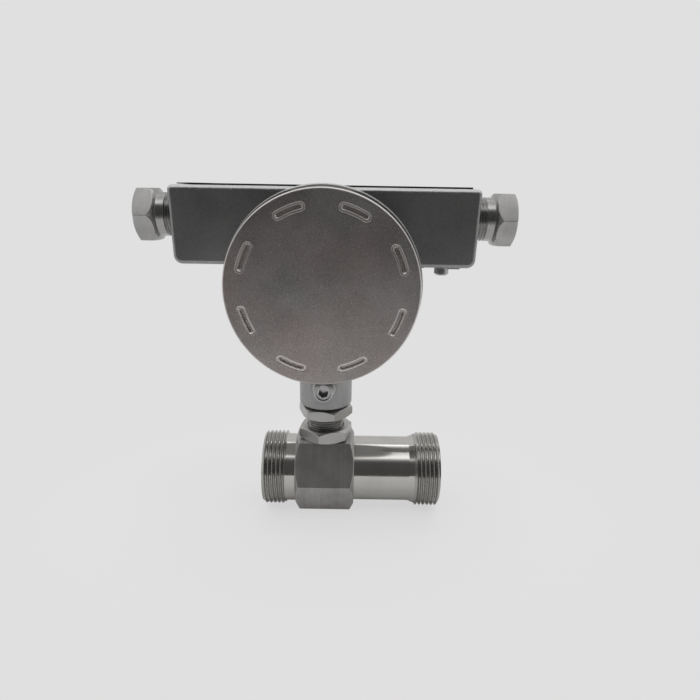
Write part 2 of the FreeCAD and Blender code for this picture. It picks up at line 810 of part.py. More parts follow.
def terminal_block():
    """Strip of screw terminals with a well and a wire mouth for each."""
    half = terminal_count * terminal_pitch / 2
    front = -board_front - terminal_height
    low = cover_z - terminal_drop
    strip = block((-half, half), (front, -board_front), (low, low + terminal_depth))
    middle = terminal_depth / 2 - terminal_drop
    for x in terminal_stations():
        strip = strip.cut(cover_bar(terminal_screw_radius, front - overlap, front + terminal_well, x, middle))
        x_range = (x - terminal_mouth / 2, x + terminal_mouth / 2)
        y_range = (front + terminal_well + overlap, front + terminal_well + overlap + terminal_mouth)
        strip = strip.cut(block(x_range, y_range, (low - overlap, low + terminal_depth / 2)))
    return strip


def terminal_screws():
    """Slotted screws at the bottom of the terminals' wells."""
    floor = terminal_well - board_front - terminal_height
    top = floor - terminal_well / 2
    middle = terminal_depth / 2 - terminal_drop
    half = terminal_slot / 2
    screws = []
    for x in terminal_stations():
        head = cover_bar(terminal_screw_radius - running_gap, top, floor, x, middle)
        x_range = (x - terminal_screw_radius, x + terminal_screw_radius)
        z_range = (cover_z + middle - half, cover_z + middle + half)
        screws.append(head.cut(block(x_range, (top - overlap, top + terminal_slot), z_range)))
    return Part.makeCompound(screws)


def component(x, width, height, depth):
    """Moulded component centred on x on the board's face."""
    middle = cover_z + parts_rise
    levels = (middle - height / 2, middle + height / 2)
    return block((x - width / 2, x + width / 2), (-board_front - depth, -board_front), levels)


def board_parts():
    """Amplifier chip, capacitor and two trimmers."""
    parts = [
        cover_bar(capacitor_radius, -board_front - capacitor_height, -board_front, 0, -capacitor_drop),
        component(chip_x, chip_width, chip_height, chip_depth),
    ]
    for k in range(2):
        parts.append(component(trimmer_x + k * trimmer_pitch, trimmer_width, trimmer_height, trimmer_depth))
    return Part.makeCompound(parts)


casting = head_casting()
left_space = arm_space(-1)
right_space = arm_space(1)

nodes = {
    "meter_body": meter_body(),
    "outlet_straightener": straightener(-1, outlet_ring_length),
    "inlet_straightener": straightener(1, inlet_ring_length),
    "outlet_circlip": circlip(-1, outlet_ring_length),
    "inlet_circlip": circlip(1, inlet_ring_length),
    "outlet_bush": bush(-1),
    "inlet_bush": bush(1),
    "rotor": rotor(),
    "rotor_shaft": rotor_shaft(),
    "pickup_sleeve": pickup_sleeve(),
    "pickup_core": pickup_core(),
    "pickup_coil": pickup_coil(),
    "pickup_magnet": pickup_magnet(),
    "pickup_potting": pickup_potting(),
    "boss_nut": pickup_nut(boss_nut_af, top_flat_z, boss_nut_top, boss_nut_turn),
    "lock_nut": pickup_nut(lock_nut_af, lock_nut_bottom, lock_nut_top, lock_nut_turn),
    "neck_seal": neck_seal(),
    "housing": casting.cut(left_space).cut(right_space),
    "left_arm": casting.common(left_space),
    "right_arm": casting.common(right_space),
    "cover": cover(),
    "cover_oring": cover_oring(),
    "lock_tab": lock_tab(),
    "lock_spring_washer": lock_spring_washer(),
    "lock_screw": lock_screw(),
    "top_sheet": top_sheet(),
    "earth_tag": earth_tag(),
    "earth_screw": earth_screw(),
    "circuit_board": circuit_board(),
    "board_standoffs": board_standoffs(),
    "board_screws": board_screws(),
    "terminal_block": terminal_block(),
    "terminal_screws": terminal_screws(),
    "board_parts": board_parts(),
}
for name, side in (("left", -1), ("right", 1)):
    nodes[name + "_gland_nut"] = gland_nut(side)
    washer_bore = gland_washer_bore_radius
    nodes[name + "_gland_washer"] = gland_ring(side, washer_bore, washer_end, gland_washer_thickness)
    nodes[name + "_gland_seal"] = gland_ring(side, gland_seal_bore_radius, seal_end, gland_seal_length)

os.makedirs("parts", exist_ok=True)
for name, shape in nodes.items():
    shape.exportStep("parts/" + name + ".step")
    print(name, len(shape.Solids), "solids", round(shape.Volume), "mm3", "valid", shape.isValid())
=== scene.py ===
import math

import bmesh
import bpy
from mathutils import Matrix, Vector


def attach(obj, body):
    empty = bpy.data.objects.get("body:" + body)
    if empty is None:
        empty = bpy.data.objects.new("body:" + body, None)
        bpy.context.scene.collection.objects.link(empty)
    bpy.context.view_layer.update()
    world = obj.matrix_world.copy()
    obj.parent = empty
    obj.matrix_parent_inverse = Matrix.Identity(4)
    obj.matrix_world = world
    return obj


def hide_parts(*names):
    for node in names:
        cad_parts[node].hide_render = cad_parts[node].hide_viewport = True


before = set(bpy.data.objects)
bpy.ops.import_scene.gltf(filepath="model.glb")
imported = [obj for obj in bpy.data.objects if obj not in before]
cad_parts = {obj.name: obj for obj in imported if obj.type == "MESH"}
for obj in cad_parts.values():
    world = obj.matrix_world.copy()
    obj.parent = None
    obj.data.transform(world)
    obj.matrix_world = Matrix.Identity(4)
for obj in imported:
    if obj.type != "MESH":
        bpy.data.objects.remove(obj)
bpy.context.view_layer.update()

print("frame loaded:", len(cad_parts), "nodes")

# sizes are in millimetres until a mesh is made; angles are in radians unless a note says degrees
mm = 0.001
fullTurn = 2 * math.pi
sixth = math.pi / 3
pipeHeight = 21
coverHeight = 134.7
portHeight = 164.7
lockHeight = 79.0
# an axis is a point on it, its direction and the direction of angle zero
pipeAxis = (Vector((0, 0, pipeHeight)), Vector((1, 0, 0)), Vector((0, 1, 0)))
neckAxis = (Vector((0, 0, 0)), Vector((0, 0, 1)), Vector((1, 0, 0)))
coverAxis = (Vector((0, 0, coverHeight)), Vector((0, -1, 0)), Vector((1, 0, 0)))
lockAxis = (Vector((0, 0, lockHeight)), Vector((0, -1, 0)), Vector((1, 0, 0)))
meshSettings = {"weld": 2e-7, "sliver": 1e-8, "smallest": 1e-6, "straight": 0.02, "share": 0.45}
smoothAngle, threadAngle, wideAngle = 28, 24, 35  # degrees above which an edge is drawn sharp


# helpers for shapes

def rounded(points, steps=3, closed=True):
    # points are (along, out, round); each corner becomes a short arc of the same number of points
    made = []
    count = len(points)
    for k, (a, r, radius) in enumerate(points):
        single = radius <= 0 or (not closed and k in (0, count - 1))
        here = Vector((a, r))
        before = Vector(points[k - 1][:2]) - here
        after = Vector(points[(k + 1) % count][:2]) - here
        if single or min(before.length, after.length) < meshSettings["smallest"]:
            made += [(a, r)] * (1 if single else steps + 1)
            continue
        u, v = before.normalized(), after.normalized()
        opening = u.angle(v)
        if opening > math.pi - meshSettings["straight"]:
            made += [(a, r)] * (steps + 1)
            continue
        longest = meshSettings["share"] * min(before.length, after.length)
        reach = min(radius / math.tan(opening / 2), longest)
        radius = reach * math.tan(opening / 2)
        centre = here + (u + v).normalized() * radius / math.sin(opening / 2)
        first, last = here + u * reach - centre, here + v * reach - centre
        for s in range(steps + 1):
            share = s / steps
            spoke = (first * (1 - share) + last * share).normalized() * radius
            made.append(tuple(centre + spoke))
    return made


def sharpen(mesh, sharpAngle):
    mesh.polygons.foreach_set("use_smooth", [True] * len(mesh.polygons))
    mesh.set_sharp_from_angle(angle=math.radians(sharpAngle))


def meshPiece(name, form, sharpAngle=smoothAngle):
    bmesh.ops.recalc_face_normals(form, faces=form.faces)
    mesh = bpy.data.meshes.new(name)
    form.to_mesh(mesh)
    form.free()
    sharpen(mesh, sharpAngle)
    piece = bpy.data.objects.new(name, mesh)
    bpy.context.scene.collection.objects.link(piece)
    return piece


def wrapped(name, axis, columns, closed=True, sharpAngle=smoothAngle):
    # columns is a list of (angle, [(along, out), ...]) that starts and ends on the same line
    origin, along, side = axis
    other = along.cross(side)
    form = bmesh.new()
    grid = []
    for angle, rows in columns:
        spoke = side * math.cos(angle) + other * math.sin(angle)
        grid.append([form.verts.new((origin + along * a + spoke * r) * mm) for a, r in rows])
    rowCount = len(grid[0])
    for left, right in zip(grid, grid[1:]):
        for i in range(rowCount if closed else rowCount - 1):
            j = (i + 1) % rowCount
            form.faces.new((left[i], left[j], right[j], right[i]))
    bmesh.ops.remove_doubles(form, verts=form.verts, dist=meshSettings["weld"])
    bmesh.ops.dissolve_degenerate(form, edges=form.edges, dist=meshSettings["sliver"])
    return meshPiece(name, form, sharpAngle)


def turnedPiece(name, axis, profile, segments):
    columns = [(fullTurn * k / segments, profile) for k in range(segments + 1)]
    return wrapped(name, axis, columns, closed=False)


def lofted(loops):
    # closed solid through loops of points in metres
    form = bmesh.new()
    rings = [[form.verts.new(point) for point in loop] for loop in loops]
    for near, far in zip(rings, rings[1:]):
        for k in range(len(near)):
            j = (k + 1) % len(near)
            form.faces.new((near[k], near[j], far[j], far[k]))
    form.faces.new(rings[0][::-1])
    form.faces.new(rings[-1])
    return form


def prism(corners, start, end):
    # outline of (x, z) corners pushed along y
    return lofted([[Vector((x, y, z)) * mm for x, z in corners] for y in (start, end)])


def rectangle(half, low, high):
    return [(-half, low), (half, low), (half, high), (-half, high)]


def arcPoints(radius, middle, start, span, steps):
    # points on a round in the xz plane; middle is its centre
    angles = [start + span * k / steps for k in range(steps + 1)]
    return [(middle[0] + radius * math.cos(a), middle[1] + radius * math.sin(a)) for a in angles]


def roundEdges(form, chosen, radius, segments):
    edges = [edge for edge in form.edges if chosen(edge)]
    bmesh.ops.bevel(form, geom=edges, offset=radius * mm, segments=segments, profile=0.5, affect="EDGES")


def rodPiece(name, start, end, radius, segments=64):
    # plain round bar between two points, used for holes
    start, end = Vector(start), Vector(end)
    along = (end - start).normalized()
    length = (end - start).length
    axis = (start, along, along.orthogonal().normalized())
    return turnedPiece(name, axis, [(0, 0), (0, radius), (length, radius), (length, 0)], segments)


def applied(piece):
    # bakes the piece's modifiers into its mesh
    graph = bpy.context.evaluated_depsgraph_get()
    mesh = bpy.data.meshes.new_from_object(piece.evaluated_get(graph))
    old = piece.data
    piece.modifiers.clear()
    piece.data = mesh
    bpy.data.meshes.remove(old)


def combined(piece, kind, others, sharpAngle=None):
    # kind is the Boolean's operation, and the other pieces are used up
    for other in others:
        change = piece.modifiers.new("combine", "BOOLEAN")
        change.operation = kind
        change.solver = "EXACT"
        change.object = other
    applied(piece)
    for other in others:
        bpy.data.objects.remove(other)
    if sharpAngle:
        sharpen(piece.data, sharpAngle)
    return piece


def place(piece, body, finish, slot, *nodes):
    # wide flat faces set the shading, so small rounded edges don't tint them
    change = piece.modifiers.new("shading", "WEIGHTED_NORMAL")
    change.keep_sharp = True
    applied(piece)
    piece.data.materials.clear()
    piece.data.materials.append(finishes[finish])
    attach(piece, body)
    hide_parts(*nodes)


# helpers for screw threads; the shape is (share of the pitch, depth below the crest)

toothShape = [
    (0.0, 0.06), (0.05, 0.0), (0.13, 0.0), (0.18, 0.06), (0.46, 0.92), (0.53, 1.0), (0.61, 1.0), (0.68, 0.92),
]


def toothDepth(turn):
    shape = toothShape + [(1.0, toothShape[0][1])]
    for (a, low), (b, high) in zip(shape, shape[1:]):
        if a <= turn <= b:
            return low + (high - low) * (turn - a) / (b - a)
    return 0


def threadRows(angle, start, end, crest, pitch, depth, limit=None):
    # the rows follow the helix, so the crests stay crisp; both ends are cut square
    length = abs(end - start)
    sign = 1 if end > start else -1
    lead = sign * angle / fullTurn
    rows = []
    for n in range(math.ceil(length / pitch) + 2):
        for phase, _ in toothShape:
            along = (n + phase + lead - (1 if sign > 0 else 0)) * pitch
            along = min(max(along, 0), length)
            out = crest - depth * toothDepth((along / pitch - lead) % 1)
            spot = start + sign * along
            rows.append((spot, min(out, limit(spot)) if limit else out))
    return rows


def threadedColumns(segments, before, after, *thread):
    # a thread, given as threadRows takes it, between two plain outlines
    angles = [fullTurn * k / segments for k in range(segments + 1)]
    return [(angle, before + threadRows(angle, *thread) + after) for angle in angles]


# helpers for hexagons; size holds acrossFlats, cornerRound, sideSteps, inset and turn in degrees

def hexCorner(size):
    # half the distance across flats, the corner round's centre and the half angle that it takes
    flat = size["acrossFlats"] / 2
    back = (flat - size["cornerRound"]) / math.cos(sixth / 2)
    return flat, back, sixth / 2 - math.atan2(back / 2, flat)


def hexReach(fromCorner, size):
    # distance from the axis to the side, fromCorner radians from a corner
    flat, back, arc = hexCorner(size)
    turn = abs(fromCorner)
    if turn < arc:
        beside = back * math.sin(turn)
        return back * math.cos(turn) + math.sqrt(max(size["cornerRound"] ** 2 - beside ** 2, 0))
    return flat / math.cos(sixth / 2 - turn)


def hexAngles(size):
    arc = hexCorner(size)[2]
    steps, turn = size["sideSteps"], math.radians(size["turn"])
    gap = (sixth - 2 * arc) / steps
    offsets = [-arc, -arc / 2, 0, arc / 2, arc] + [arc + gap * k for k in range(1, steps)]
    found = []
    for k in range(6):
        found += [(k * sixth + off + turn, off if off <= arc else min(off, sixth - off)) for off in offsets]
    return found + [(found[0][0] + fullTurn, found[0][1])]


def hexPiece(name, axis, size, profile):
    # profile(angle, reach) gives the outline for the side's distance from the axis
    columns = []
    for angle, fromCorner in hexAngles(size):
        columns.append((angle, profile(angle, hexReach(fromCorner, size))))
    return wrapped(name, axis, columns)


def cornerDrop(reach, size):
    # how far the turned chamfer has cut into a corner that reaches out this far
    return (reach - size["acrossFlats"] / 2 + size["inset"]) * math.tan(sixth / 2)


# camera; angles in degrees, lens and sensor in millimetres

cameraSettings = {
    "position": (12.42, -285.55, 180.28), "down": 16.948, "left": 0.168, "roll": 0.975,
    "lens": 27.766, "sensor": 36, "nearest": 0.01, "farthest": 20,
}


def makeCamera(size):
    down, yaw, roll = (math.radians(v) for v in (size["down"], -size["left"], size["roll"]))
    ahead = Vector((-math.sin(yaw), math.cos(yaw), 0))
    right = Vector((math.cos(yaw), math.sin(yaw), 0))
    upward = Vector((0, 0, 1))
    look = ahead * math.cos(down) - upward * math.sin(down)
    top = upward * math.cos(down) + ahead * math.sin(down)
    sideways = right * math.cos(roll) + top * math.sin(roll)
    above = top * math.cos(roll) - right * math.sin(roll)
    data = bpy.data.cameras.new("camera")
    data.lens, data.sensor_width = size["lens"], size["sensor"]
    data.clip_start, data.clip_end = size["nearest"], size["farthest"]
    camera = bpy.data.objects.new("camera", data)
    bpy.context.scene.collection.objects.link(camera)
    axes = Matrix((sideways, above, -look)).transposed().to_4x4()
    camera.matrix_world = Matrix.Translation(Vector(size["position"]) * mm) @ axes
    bpy.context.scene.camera = camera


makeCamera(cameraSettings)
bpy.context.scene.view_settings.view_transform = "Standard"
print("camera placed")


# materials

class Nodes:
    # adds and joins the shader nodes of a material or a world
    def __init__(self, owner, coordinates="Object", emptied=False):
        owner.use_nodes = True
        self.owner, self.tree = owner, owner.node_tree
        if emptied:
            self.tree.nodes.clear()
        self.where = self.add("TexCoord").outputs[coordinates]

    def add(self, kind, *values):
        node = self.tree.nodes.new("ShaderNode" + kind)
        for socket, value in zip(node.inputs, values):
            self.feed(socket, value)
        return node

    def feed(self, socket, value):
        # a number or a colour is set, and anything else is linked
        if isinstance(value, (int, float)):
            socket.default_value = value
        elif isinstance(value, tuple):
            socket.default_value = (*value, 1)
        else:
            self.tree.links.new(value, socket)

    def stretched(self, scale, shift=(0, 0, 0)):
        node = self.add("Mapping", self.where)
        node.inputs["Scale"].default_value = scale
        node.inputs["Location"].default_value = shift
        return node.outputs["Vector"]

    def noise(self, scale, detail, roughness, vector=None):
        node = self.add("TexNoise", vector or self.where)
        for socket, value in (("Scale", scale), ("Detail", detail), ("Roughness", roughness)):
            node.inputs[socket].default_value = value
        return node.outputs["Fac"]

    def cells(self, scale):
        node = self.add("TexVoronoi", self.where)
        node.inputs["Scale"].default_value = scale
        return node.outputs["Distance"]

    def ramp(self, source, stops):
        # stops are (position, level)
        node = self.add("ValToRGB", source)
        marks = node.color_ramp.elements
        while len(marks) < len(stops):
            marks.new(0.5)
        for mark, (spot, value) in zip(marks, stops):
            mark.position = spot
            mark.color = (value, value, value, 1)
        return node.outputs["Color"]

    def between(self, source, low, high):
        return self.ramp(source, [(low, 0.0), (high, 1.0)])

    def math(self, kind, *values):
        node = self.add("Math", *values)
        node.operation = kind
        return node.outputs[0]

    def mix(self, share, first, second):
        node = self.add("Mix")
        node.data_type = "RGBA"
        for k, value in ((0, share), (6, first), (7, second)):
            self.feed(node.inputs[k], value)
        return node.outputs[2]

    def part(self, name):
        return self.add("SeparateXYZ", self.where).outputs[name]

    def bump(self, height, strength, distance):
        node = self.add("Bump")
        for socket, value in (("Strength", strength), ("Distance", distance), ("Height", height)):
            self.feed(node.inputs[socket], value)
        return node.outputs["Normal"]

    def finish(self, colour, roughness, normal, metallic=1.0):
        inputs = self.tree.nodes["Principled BSDF"].inputs
        sockets = ("Base Color", "Roughness", "Normal", "Metallic")
        for socket, value in zip(sockets, (colour, roughness, normal, metallic)):
            self.feed(inputs[socket], value)
        return self.owner


def toned(tone, factor):
    return tuple(min(c * factor, 1) for c in tone)


# scales are per metre, rough values are added to the roughness, and depths are in metres
turnedLook = {
    "broad": 0.11, "broadLeast": 2, "broadShift": (0.3, 0.7, 0.1), "broadRough": 0.12,
    "stain": 60, "stainRough": 0.06, "lines": (0.3, 0.7), "stained": (0.45, 0.75),
    "threadRough": 0.13, "threadTone": 0.76, "depth": 0.000004,
}
castLook = {
    "pits": 0.45, "pitShare": 0.6, "cloud": 38, "cloudy": (0.35, 0.68), "cloudRough": 0.16, "wide": 11,
    "brownScale": 19, "brownShift": (0.4, 0.1, 0.7), "brownFrom": 0.42, "brownTo": 0.62,
    "brownTone": (1.04, 0.86, 0.84), "pores": 0.8, "poreShift": (0.2, 0.9, 0.5), "poreFrom": 0.30,
    "poreTo": 0.42, "poreShare": 0.8, "poreTone": 0.35,
    "speckFrom": 0.58, "speckTo": 0.68, "speckTone": 2.1, "bump": 0.5,
    "ragged": 420, "raggedDepth": 0.0016, "highlightWidth": 1200.0, "highlightTone": 1.9, "highlightRough": 0.1,
    "behindWidth": 5000.0, "behindHighlightTone": 1.75, "behindRough": -0.1,
}
mouldedLook = {
    "cloud": 70, "cloudy": (0.35, 0.7), "cloudRough": 0.16, "dark": 0.8, "pale": 1.15,
    "bump": 0.4, "depth": 0.00002,
}


def turnedSteel(name, axisScale, tone, roughness, mark=0.3, streak=0.06, stained=0.12, threadFrom=None):
    # lathe marks run round the axis; axisScale is large along it and small across it
    look, m = turnedLook, Nodes(bpy.data.materials.new(name))
    lines = m.noise(1, 4, 0.6, m.stretched(axisScale))
    wide = tuple(s * look["broad"] + look["broadLeast"] for s in axisScale)
    broad = m.noise(1, 2, 0.5, m.stretched(wide, look["broadShift"]))
    stain = m.noise(look["stain"], 4, 0.6)
    colour = m.mix(m.between(lines, *look["lines"]), toned(tone, 1 - streak), tone)
    colour = m.mix(m.between(stain, *look["stained"]), colour, toned(tone, 1 - stained))
    rough = m.math("MULTIPLY_ADD", broad, look["broadRough"], roughness - look["broadRough"] / 2)
    rough = m.math("MULTIPLY_ADD", stain, look["stainRough"], rough)
    if threadFrom:
        # the cut thread outside this distance from the pipe's axis is duller
        level = m.math("SUBTRACT", m.part("Z"), pipeHeight * mm)
        squares = [m.math("POWER", value, 2.0) for value in (m.part("Y"), level)]
        thread = m.math("GREATER_THAN", m.math("SQRT", m.math("ADD", *squares)), threadFrom)
        rough = m.math("MULTIPLY_ADD", thread, look["threadRough"], rough)
        colour = m.mix(thread, colour, toned(tone, look["threadTone"]))
    return m.finish(colour, rough, m.bump(lines, mark, look["depth"]))


def castSteel(name, tone, roughness, grain, depth, fleck, patch=0.12, brown=0.0, highlightFrom=None,
              highlightBehind=None):
    look, m = castLook, Nodes(bpy.data.materials.new(name))
    fine = m.noise(grain, 2, 0.6)
    pits = m.cells(grain * look["pits"])
    cloud = m.noise(look["cloud"], 4, 0.62)
    wide = m.noise(look["wide"], 2, 0.5)
    dark = toned(tone, 1 - patch)
    colour = m.mix(m.between(cloud, *look["cloudy"]), dark, toned(tone, 1 + patch / 2))
    colour = m.mix(m.ramp(wide, [(0.4, 0.0), (0.7, 0.5)]), colour, dark)
    # faint brown tint in patches, dark pores and bright grains
    patches = m.noise(look["brownScale"], 3, 0.6, m.stretched((1, 1, 1), look["brownShift"]))
    tint = m.ramp(patches, [(look["brownFrom"], 0.0), (look["brownTo"], brown)])
    colour = m.mix(tint, colour, tuple(c * share for c, share in zip(tone, look["brownTone"])))
    holes = m.noise(grain * look["pores"], 2, 0.55, m.stretched((1, 1, 1), look["poreShift"]))
    pore = m.ramp(holes, [(look["poreFrom"], fleck * look["poreShare"]), (look["poreTo"], 0.0)])
    colour = m.mix(pore, colour, toned(tone, look["poreTone"]))
    speck = m.ramp(fine, [(look["speckFrom"], 0.0), (look["speckTo"], fleck)])
    colour = m.mix(speck, colour, toned(tone, look["speckTone"]))
    rough = m.math("MULTIPLY_ADD", cloud, look["cloudRough"], roughness - look["cloudRough"] / 2)
    if highlightFrom:
        # painted highlight: a paler band, with a ragged lower edge, along the top edges above this height,
        # standing in for the light the rounds catch from overhead; the band is also a little rougher
        ragged = m.math("SUBTRACT", m.noise(look["ragged"], 3, 0.7), 0.5)
        level = m.math("MULTIPLY_ADD", ragged, look["raggedDepth"], m.part("Z"))
        above = m.math("MULTIPLY", m.math("SUBTRACT", level, highlightFrom), look["highlightWidth"])
        band = m.between(above, 0.0, 1.0)
        colour = m.mix(band, colour, toned(tone, look["highlightTone"]))
        rough = m.math("MULTIPLY_ADD", band, look["highlightRough"], rough)
    if highlightBehind:
        # painted highlight: slots and rim behind the blasted face get a brighter colour, standing in for the
        # light their walls and round catch, and they also get a smoother finish
        behind = m.math("MULTIPLY", m.math("SUBTRACT", m.part("Y"), highlightBehind), look["behindWidth"])
        slotRimMask = m.between(behind, 0.0, 1.0)
        colour = m.mix(slotRimMask, colour, toned(tone, look["behindHighlightTone"]))
        rough = m.math("MULTIPLY_ADD", slotRimMask, look["behindRough"], rough)
    height = m.math("MULTIPLY_ADD", pits, look["pitShare"], fine)
    return m.finish(colour, rough, m.bump(height, look["bump"], depth))


def moulded(name, tone, roughness, grain):
    look, m = mouldedLook, Nodes(bpy.data.materials.new(name))
    fine = m.noise(grain, 3, 0.6)
    cloud = m.noise(look["cloud"], 3, 0.6)
    colour = m.mix(m.between(cloud, *look["cloudy"]), toned(tone, look["dark"]), toned(tone, look["pale"]))
    rough = m.math("MULTIPLY_ADD", cloud, look["cloudRough"], roughness - look["cloudRough"] / 2)
    return m.finish(colour, rough, m.bump(fine, look["bump"], look["depth"]), metallic=0.0)


# threadFrom, and the starts of the painted highlights on the housing's top edges and on the cover's slots and
# rim, are in metres
finishes = {
    "pipe": turnedSteel("turnedPipe", (3600, 6, 6), (0.66, 0.645, 0.62), 0.1, 0.2, 0.05, threadFrom=0.0195),
    "hexagon": turnedSteel("milledHexagon", (700, 30, 30), (0.61, 0.59, 0.578), 0.36, 0.3, 0.2, 0.34),
    "nut": turnedSteel("machinedNut", (160, 160, 1900), (0.52, 0.515, 0.50), 0.3),
    "glandNut": turnedSteel("machinedGlandNut", (1900, 60, 60), (0.50, 0.495, 0.485), 0.2, 0.3, 0.16, 0.3),
    # the housing's top edges carry a painted highlight above 177.5 mm
    "housing": castSteel("castHousing", (0.37, 0.372, 0.368), 0.36, 1300, 0.00006, 0.3, highlightFrom=0.1775),
    # the cover's slots and rim carry a painted highlight behind its front face
    "cover": castSteel(
        "blastedCover", (0.445, 0.425, 0.416), 0.38, 2300, 0.00005, 0.62, 0.2, 0.55, highlightBehind=-0.04594),
    "pickup": turnedSteel("darkThread", (90, 90, 3000), (0.34, 0.335, 0.33), 0.3),
    "screw": turnedSteel("brightScrew", (200, 1200, 200), (0.5, 0.49, 0.49), 0.22),
    "spring": turnedSteel("springSteel", (600, 600, 600), (0.42, 0.42, 0.43), 0.28),
    "rotor": turnedSteel("machinedRotor", (2600, 60, 60), (0.58, 0.58, 0.59), 0.22),
    "tag": turnedSteel("tinnedSheet", (900, 40, 40), (0.55, 0.55, 0.53), 0.3),
    "brass": turnedSteel("plainBrass", (40, 1600, 40), (0.74, 0.55, 0.27), 0.25),
    "copper": turnedSteel("woundCopper", (30, 30, 5200), (0.66, 0.32, 0.17), 0.3, 0.5, 0.3),
    "magnet": turnedSteel("platedMagnet", (300, 300, 300), (0.55, 0.55, 0.57), 0.15),
    "rubber": moulded("blackRubber", (0.022, 0.022, 0.022), 0.62, 1400),
    "blackSheet": moulded("blackSheet", (0.018, 0.018, 0.019), 0.5, 2600),
    "bearing": moulded("bearingBush", (0.05, 0.05, 0.055), 0.3, 1600),
    "resin": moulded("pottingResin", (0.03, 0.03, 0.032), 0.3, 300),
    "board": moulded("circuitBoard", (0.02, 0.16, 0.06), 0.35, 700),
    "terminal": moulded("terminalBlock", (0.03, 0.2, 0.08), 0.45, 900),
    "component": moulded("mouldedParts", (0.03, 0.03, 0.034), 0.45, 1100),
}
print("materials made:", len(finishes))


# pipe body: two threaded ends and the hexagon between them

pipeSettings = {
    "threadCrest": 20.955, "threadPitch": 2.309, "threadDepth": 1.48, "threadLength": 12.7, "endChamfer": 1.2,
    "outletEnd": -35.0, "inletEnd": 65.0, "outletBarrel": 19.3, "inletBarrel": 18.4, "coneLength": 4.5,
    "coneStart": 0.4, "coneDrop": 0.9, "coneRound": 1.0, "seat": 13.3, "bore": 12.5, "groove": 14.2,
    "grooveWidth": 1.2, "outletGroove": -22.2, "inletGroove": 42.0, "mouth": 0.8, "lip": 3,
    "hexHalf": 16.5, "acrossFlats": 42.0, "cornerRound": 0.35, "sideSteps": 5, "inset": 0.35, "turn": 0,
    "chamber": 8.0, "segments": 128,
    "pocket": 8.05, "pocketLow": 35.5, "pocketHigh": 44, "pocketSegments": 48,
}


def pipeEnd(size, side):
    tip = size["inletEnd"] if side > 0 else size["outletEnd"]
    groove = size["inletGroove"] if side > 0 else size["outletGroove"]
    shoulder = tip - side * size["threadLength"]
    hexFace = side * size["hexHalf"]
    crest, seat, chamfer = size["threadCrest"], size["seat"], size["endChamfer"]

    def limit(x):
        return crest - chamfer + abs(tip - x) if abs(tip - x) < chamfer else crest

    near, far = (groove, groove + size["grooveWidth"])[::side]
    mouth = size["mouth"]
    bore = rounded([
        (hexFace, seat, 0), (near, seat, 0), (near, size["groove"], 0), (far, size["groove"], 0),
        (far, seat, 0.15), (tip - side * mouth, seat, 0.1), (tip, seat + mouth, 0.15),
        (tip, seat + size["lip"], 0),
    ], closed=False)
    if side > 0:
        barrel = size["inletBarrel"]
        outer = rounded([
            (shoulder, crest - 1.0, 0), (shoulder - size["coneStart"], crest - size["coneDrop"], 0.3),
            (shoulder - size["coneLength"], barrel, size["coneRound"]), (hexFace, barrel, 0),
        ], closed=False)
    else:
        barrel = size["outletBarrel"]
        outer = rounded([
            (shoulder, barrel + 0.1, 0), (shoulder + 0.5, barrel, 0.2), (hexFace, barrel, 0),
        ], closed=False)
    thread = (tip, shoulder, crest, size["threadPitch"], size["threadDepth"], limit)
    columns = threadedColumns(size["segments"], bore, outer, *thread)
    return wrapped("inletEnd" if side > 0 else "outletEnd", pipeAxis, columns, sharpAngle=threadAngle)


def hexBody(size):
    half, chamber, seat, bore = size["hexHalf"], size["chamber"], size["seat"], size["bore"]
    face = size["acrossFlats"] / 2 - size["inset"]

    def outline(angle, reach):
        drop = cornerDrop(reach, size)
        return rounded([
            (-half, seat, 0), (-half, face, 0.25), (drop - half, reach, 0.5), (half - drop, reach, 0.5),
            (half, face, 0.25), (half, seat, 0), (chamber, seat, 0), (chamber, bore, 0), (-chamber, bore, 0),
            (-chamber, seat, 0),
        ])

    body = hexPiece("hexBody", pipeAxis, size, outline)
    low, high, radius = size["pocketLow"], size["pocketHigh"], size["pocket"]
    profile = [(low, 0), (low, radius), (high, radius), (high, 0)]
    pocket = turnedPiece("pocket", neckAxis, profile, size["pocketSegments"])
    return combined(body, "DIFFERENCE", [pocket], smoothAngle)


for side in (-1, 1):
    place(pipeEnd(pipeSettings, side), "meter", "pipe", "turned_steel", "meter_body")
place(hexBody(pipeSettings), "meter", "hexagon", "turned_steel", "meter_body")
print("pipe body made")


# pickup and its two nuts

pickupSettings = {
    "bottom": 35.5, "tip": 8.0, "step": 42.1, "crest": 10.0, "pitch": 1.5, "depth": 0.92, "threadStart": 47.5,
    "threadEnd": 65.0, "top": 76.0, "inside": 6.05, "floor": 36.9, "segments": 96,
}


def pickupSleeve(size):
    bottom, tip, step, crest, inside = (size[key] for key in ("bottom", "tip", "step", "crest", "inside"))
    start, end, top, floor = (size[key] for key in ("threadStart", "threadEnd", "top", "floor"))
    below = [(bottom, 0), (bottom, tip), (step, tip), (step, crest), (start, crest)]
    above = [(end, crest), (top, crest), (top, inside), (floor, inside), (floor, 0)]
    columns = threadedColumns(size["segments"], below, above, start, end, crest, size["pitch"], size["depth"])
    return wrapped("pickupSleeve", neckAxis, columns, closed=False, sharpAngle=threadAngle)


nutShape = {"hole": 10.05, "cornerRound": 0.3, "sideSteps": 5, "inset": 0.2, "countersink": 0.6}
nutSettings = {
    "bossNut": {"acrossFlats": 27.0, "low": 42.0, "high": 49.0, "turn": 18.0, **nutShape},
    "lockNut": {"acrossFlats": 26.7, "low": 55.5, "high": 61.6, "turn": 50.5, **nutShape},
}


